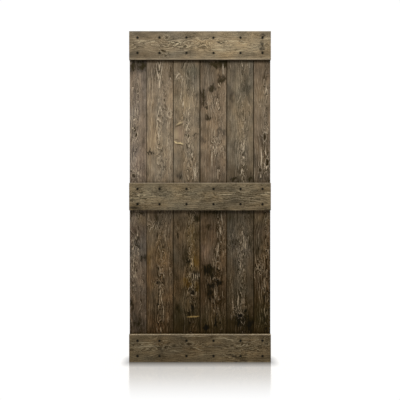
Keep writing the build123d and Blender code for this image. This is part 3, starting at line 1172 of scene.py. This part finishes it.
# Finish of the screws, rubbed in places
SCREW_DARK = paint(10, 9, 9)
SCREW_RUBBED = paint(24, 22, 21)
RUB_SCALE = 900.0
RUB_DETAIL = 3.0
RUB_GAIN = 3.0
RUB_CUT = 1.3
SCREW_ROUGHNESS = 0.4
RUB_ROUGHNESS = 0.3
SCREW_SPECULAR = 0.12


def screw_rings(turn):
    """Radius and depth of the rings of a screw, from the bottom of its recess round to its tip."""
    angle = np.linspace(0, 2 * math.pi, SCREW_SIDES, endpoint=False)
    arms = RECESS_WAIST + (RECESS_ARM - RECESS_WAIST) * abs(np.cos(2 * (angle - turn))) ** RECESS_SHARPNESS
    flat = np.ones(SCREW_SIDES)
    cone = HEAD_RADIUS - SHANK_RADIUS
    rings = [
        (RECESS_FLOOR * arms, HEAD_SINK + RECESS_DEPTH),
        (RECESS_BEND[0] * arms, HEAD_SINK + RECESS_BEND[1] * RECESS_DEPTH), (arms, HEAD_SINK),
        ((HEAD_RADIUS - HEAD_EDGE) * flat, HEAD_SINK), (HEAD_RADIUS * flat, HEAD_SINK + HEAD_EDGE),
        (SHANK_RADIUS * flat, HEAD_SINK + HEAD_EDGE + cone), (SHANK_RADIUS * flat, SHANK_END),
    ]
    return angle, rings


def screws_mesh(plank):
    """All the screws of a rail as one mesh."""
    points, faces = [], []
    turns = np.random.default_rng(SCREW_SEED).uniform(0, math.pi / 2, len(screw_places(plank)))
    for (screw_across, screw_along), turn in zip(screw_places(plank), turns):
        first = len(points)
        angle, rings = screw_rings(turn)
        for radius, ring_depth in rings:
            ring_across = screw_across + radius * np.sin(angle)
            ring_along = screw_along + radius * np.cos(angle)
            points += plank.place(ring_across, ring_along, ring_depth + 0 * angle).tolist()
        ring_start = first + SCREW_SIDES * np.arange(len(rings))
        for low in ring_start[:-1]:
            for side in range(SCREW_SIDES):
                after = (side + 1) % SCREW_SIDES
                faces.append([low + side, low + after, low + SCREW_SIDES + after, low + SCREW_SIDES + side])
        faces.append([ring_start[0] + side for side in reversed(range(SCREW_SIDES))])
        faces.append([ring_start[-1] + side for side in range(SCREW_SIDES)])
    mesh = bpy.data.meshes.new(plank.node + "_screws")
    mesh.from_pydata(points, [], faces)
    mesh.shade_smooth()
    mesh.set_sharp_from_angle(angle=SCREW_CORNER)
    return mesh


def screw_black():
    """Black phosphated steel, a little rubbed."""
    material, shader = new_finish("screw_black")
    place = shader.output("TexCoord", {}, {}, "Object")
    rub = shader.output("TexNoise", {}, {"Vector": place, "Scale": RUB_SCALE, "Detail": RUB_DETAIL})
    colour = shader.mix(shader.clip(RUB_GAIN * rub - RUB_CUT), SCREW_DARK, SCREW_RUBBED)
    steel = shader.output("BsdfPrincipled", {}, {
        "Base Color": colour,
        "Roughness": shader.clip(SCREW_ROUGHNESS + RUB_ROUGHNESS * rub),
        "Specular IOR Level": SCREW_SPECULAR,
    })
    shader.node("OutputMaterial", {}, {"Surface": steel})
    return material


planks = {node: Plank(node) for node in BOARDS + RAILS}
black = screw_black()
for node, plank in planks.items():
    piece = add_piece("brushed_" + node, plank_mesh(plank), Pine(plank).finish())
    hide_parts(node)
for node in RAILS:
    add_piece(node + "_screws", screws_mesh(planks[node]), black)


# Studio
CAMERA_DISTANCE_M = 2.3
CAMERA_HEIGHT_M = 1.0447
LENS_MM = 32.13
SENSOR_MM = 36.0
WHITE = (1, 1, 1, 1)
WHITE_STRENGTH = 1.02
FILL_COLOUR = (1.0, 0.9, 0.74, 1)
FILL_STRENGTH = 0.24
floor_m = cad_box[0].z

# Softboxes: their place and aim over the floor, size and power
Softbox = namedtuple("Softbox", "name place_m aim_m width_m height_m watts")
SOFTBOX_COLOUR = (1.0, 0.98, 0.95)
SOFTBOXES = [
    Softbox("key", (0, -2.0, 3.5), (0, 0, 1.6), 2.2, 1.0, 62.0),
    Softbox("back_key", (0, 2.4, 3.2), (0, 0, 1.2), 2.2, 1.0, 62.0),
    Softbox("edge_key_1", (-2.6, 0.02, 1.6), (0, 0.02, 1.1), 0.3, 2.0, 22.0),
    Softbox("edge_key_3", (2.6, 0.02, 1.6), (0, 0.02, 1.1), 0.3, 2.0, 22.0),
]

# The floor: how far the foot of the door darkens it with a painted shadow and shows in it, with a painted
# warm tint
FLOOR_REACH_M = 40.0
SHADOW_REACH_M = 0.072
SHADOW_DARK = 0.84
SIDE_FADE = 1.3
MIRROR_START_M = 0.06
MIRROR_END_M = 0.48
MIRROR_SHARE = 0.45
FLOOR_REFLECTION_TINT = (1.03, 1.0, 0.955, 1)
FLOOR_ROUGHNESS = 0.12


def add_camera():
    """Square on to the door, a little under half its height."""
    camera = bpy.data.cameras.new("camera")
    camera.lens = LENS_MM
    camera.sensor_width = SENSOR_MM
    stand = bpy.data.objects.new("camera", camera)
    stand.location = (0, -CAMERA_DISTANCE_M, floor_m + CAMERA_HEIGHT_M)
    stand.rotation_euler = (math.pi / 2, 0, 0)
    bpy.context.scene.collection.objects.link(stand)
    bpy.context.scene.camera = stand


def add_softbox(box):
    """A soft area light, turned towards its aim."""
    light = bpy.data.lights.new(box.name, "AREA")
    light.shape = "RECTANGLE"
    light.size = box.width_m
    light.size_y = box.height_m
    light.energy = box.watts
    light.color = SOFTBOX_COLOUR
    stand = bpy.data.objects.new(box.name, light)
    stand.location = Vector(box.place_m) + Vector((0, 0, floor_m))
    stand.rotation_euler = (Vector(box.aim_m) - Vector(box.place_m)).to_track_quat("-Z", "Y").to_euler()
    stand.visible_camera = False
    bpy.context.scene.collection.objects.link(stand)


def add_world():
    """White behind everything, and a soft warm fill on the wood."""
    world = bpy.data.worlds.new("studio")
    world.use_nodes = True
    shader = Shader(world.node_tree)
    path = shader.node("LightPath", {}, {})
    seen = Value(shader, path.outputs["Is Camera Ray"])
    mirrored = Value(shader, path.outputs["Is Glossy Ray"])
    white = shader.output("Background", {}, {"Color": WHITE, "Strength": WHITE_STRENGTH})
    fill = shader.output("Background", {}, {"Color": FILL_COLOUR, "Strength": FILL_STRENGTH})
    sky = shader.output("MixShader", {}, {0: shader.clip(seen + mirrored), 1: fill, 2: white})
    shader.node("OutputWorld", {}, {"Surface": sky})
    bpy.context.scene.world = world


def polished_white():
    """The floor's finish: it mirrors the door near its foot, with a painted soft shadow round it and a
    painted warm tint where the door shows in it.
    """
    material, shader = new_finish("studio_floor")
    split = shader.node("SeparateXYZ", {}, {"Vector": shader.output("TexCoord", {}, {}, "Object")})
    x, y = (Value(shader, split.outputs[axis]) for axis in (0, 1))
    half_width = (cad_box[1].x - cad_box[0].x) / 2
    half_depth = (cad_box[1].y - cad_box[0].y) / 2
    aside = (abs(x) - half_width).math("MAXIMUM", 0.0)
    ahead = (abs(y - half_depth) - half_depth).math("MAXIMUM", 0.0)
    gap = ((SIDE_FADE * aside) ** 2 + ahead ** 2).math("SQRT")
    # Painted soft shadow round the door's foot
    shadow = SHADOW_DARK * shader.clip(1 - gap / SHADOW_REACH_M)
    near = 1 - ease(shader.clip((gap - MIRROR_START_M) / (MIRROR_END_M - MIRROR_START_M)))
    white = shader.output("Emission", {}, {"Color": WHITE, "Strength": WHITE_STRENGTH})
    # Painted warm tint of the door's reflection, fading with the mirroring
    warm = shader.output("Emission", {}, {"Color": FLOOR_REFLECTION_TINT, "Strength": WHITE_STRENGTH})
    unlit = shader.output("Emission", {}, {"Strength": 0.0})
    gloss = shader.output("BsdfGlossy", {}, {"Color": WHITE, "Roughness": FLOOR_ROUGHNESS})
    lit = shader.output("MixShader", {}, {0: near, 1: white, 2: warm})
    shaded = shader.output("MixShader", {}, {0: shadow, 1: lit, 2: unlit})
    surface = shader.output("MixShader", {}, {0: MIRROR_SHARE * near, 1: shaded, 2: gloss})
    shader.node("OutputMaterial", {}, {"Surface": surface})
    return material


def add_floor():
    """A wide sheet under the door."""
    turns = ((-1, -1), (1, -1), (1, 1), (-1, 1))
    corners = [(x * FLOOR_REACH_M, y * FLOOR_REACH_M, floor_m) for x, y in turns]
    mesh = bpy.data.meshes.new("floor")
    mesh.from_pydata(corners, [], [(0, 1, 2, 3)])
    mesh.materials.append(polished_white())
    floor = bpy.data.objects.new("floor", mesh)
    floor.visible_diffuse = False
    bpy.context.scene.collection.objects.link(floor)


add_camera()
add_world()
add_floor()
for softbox in SOFTBOXES:
    add_softbox(softbox)
bpy.context.scene.view_settings.view_transform = "Standard"
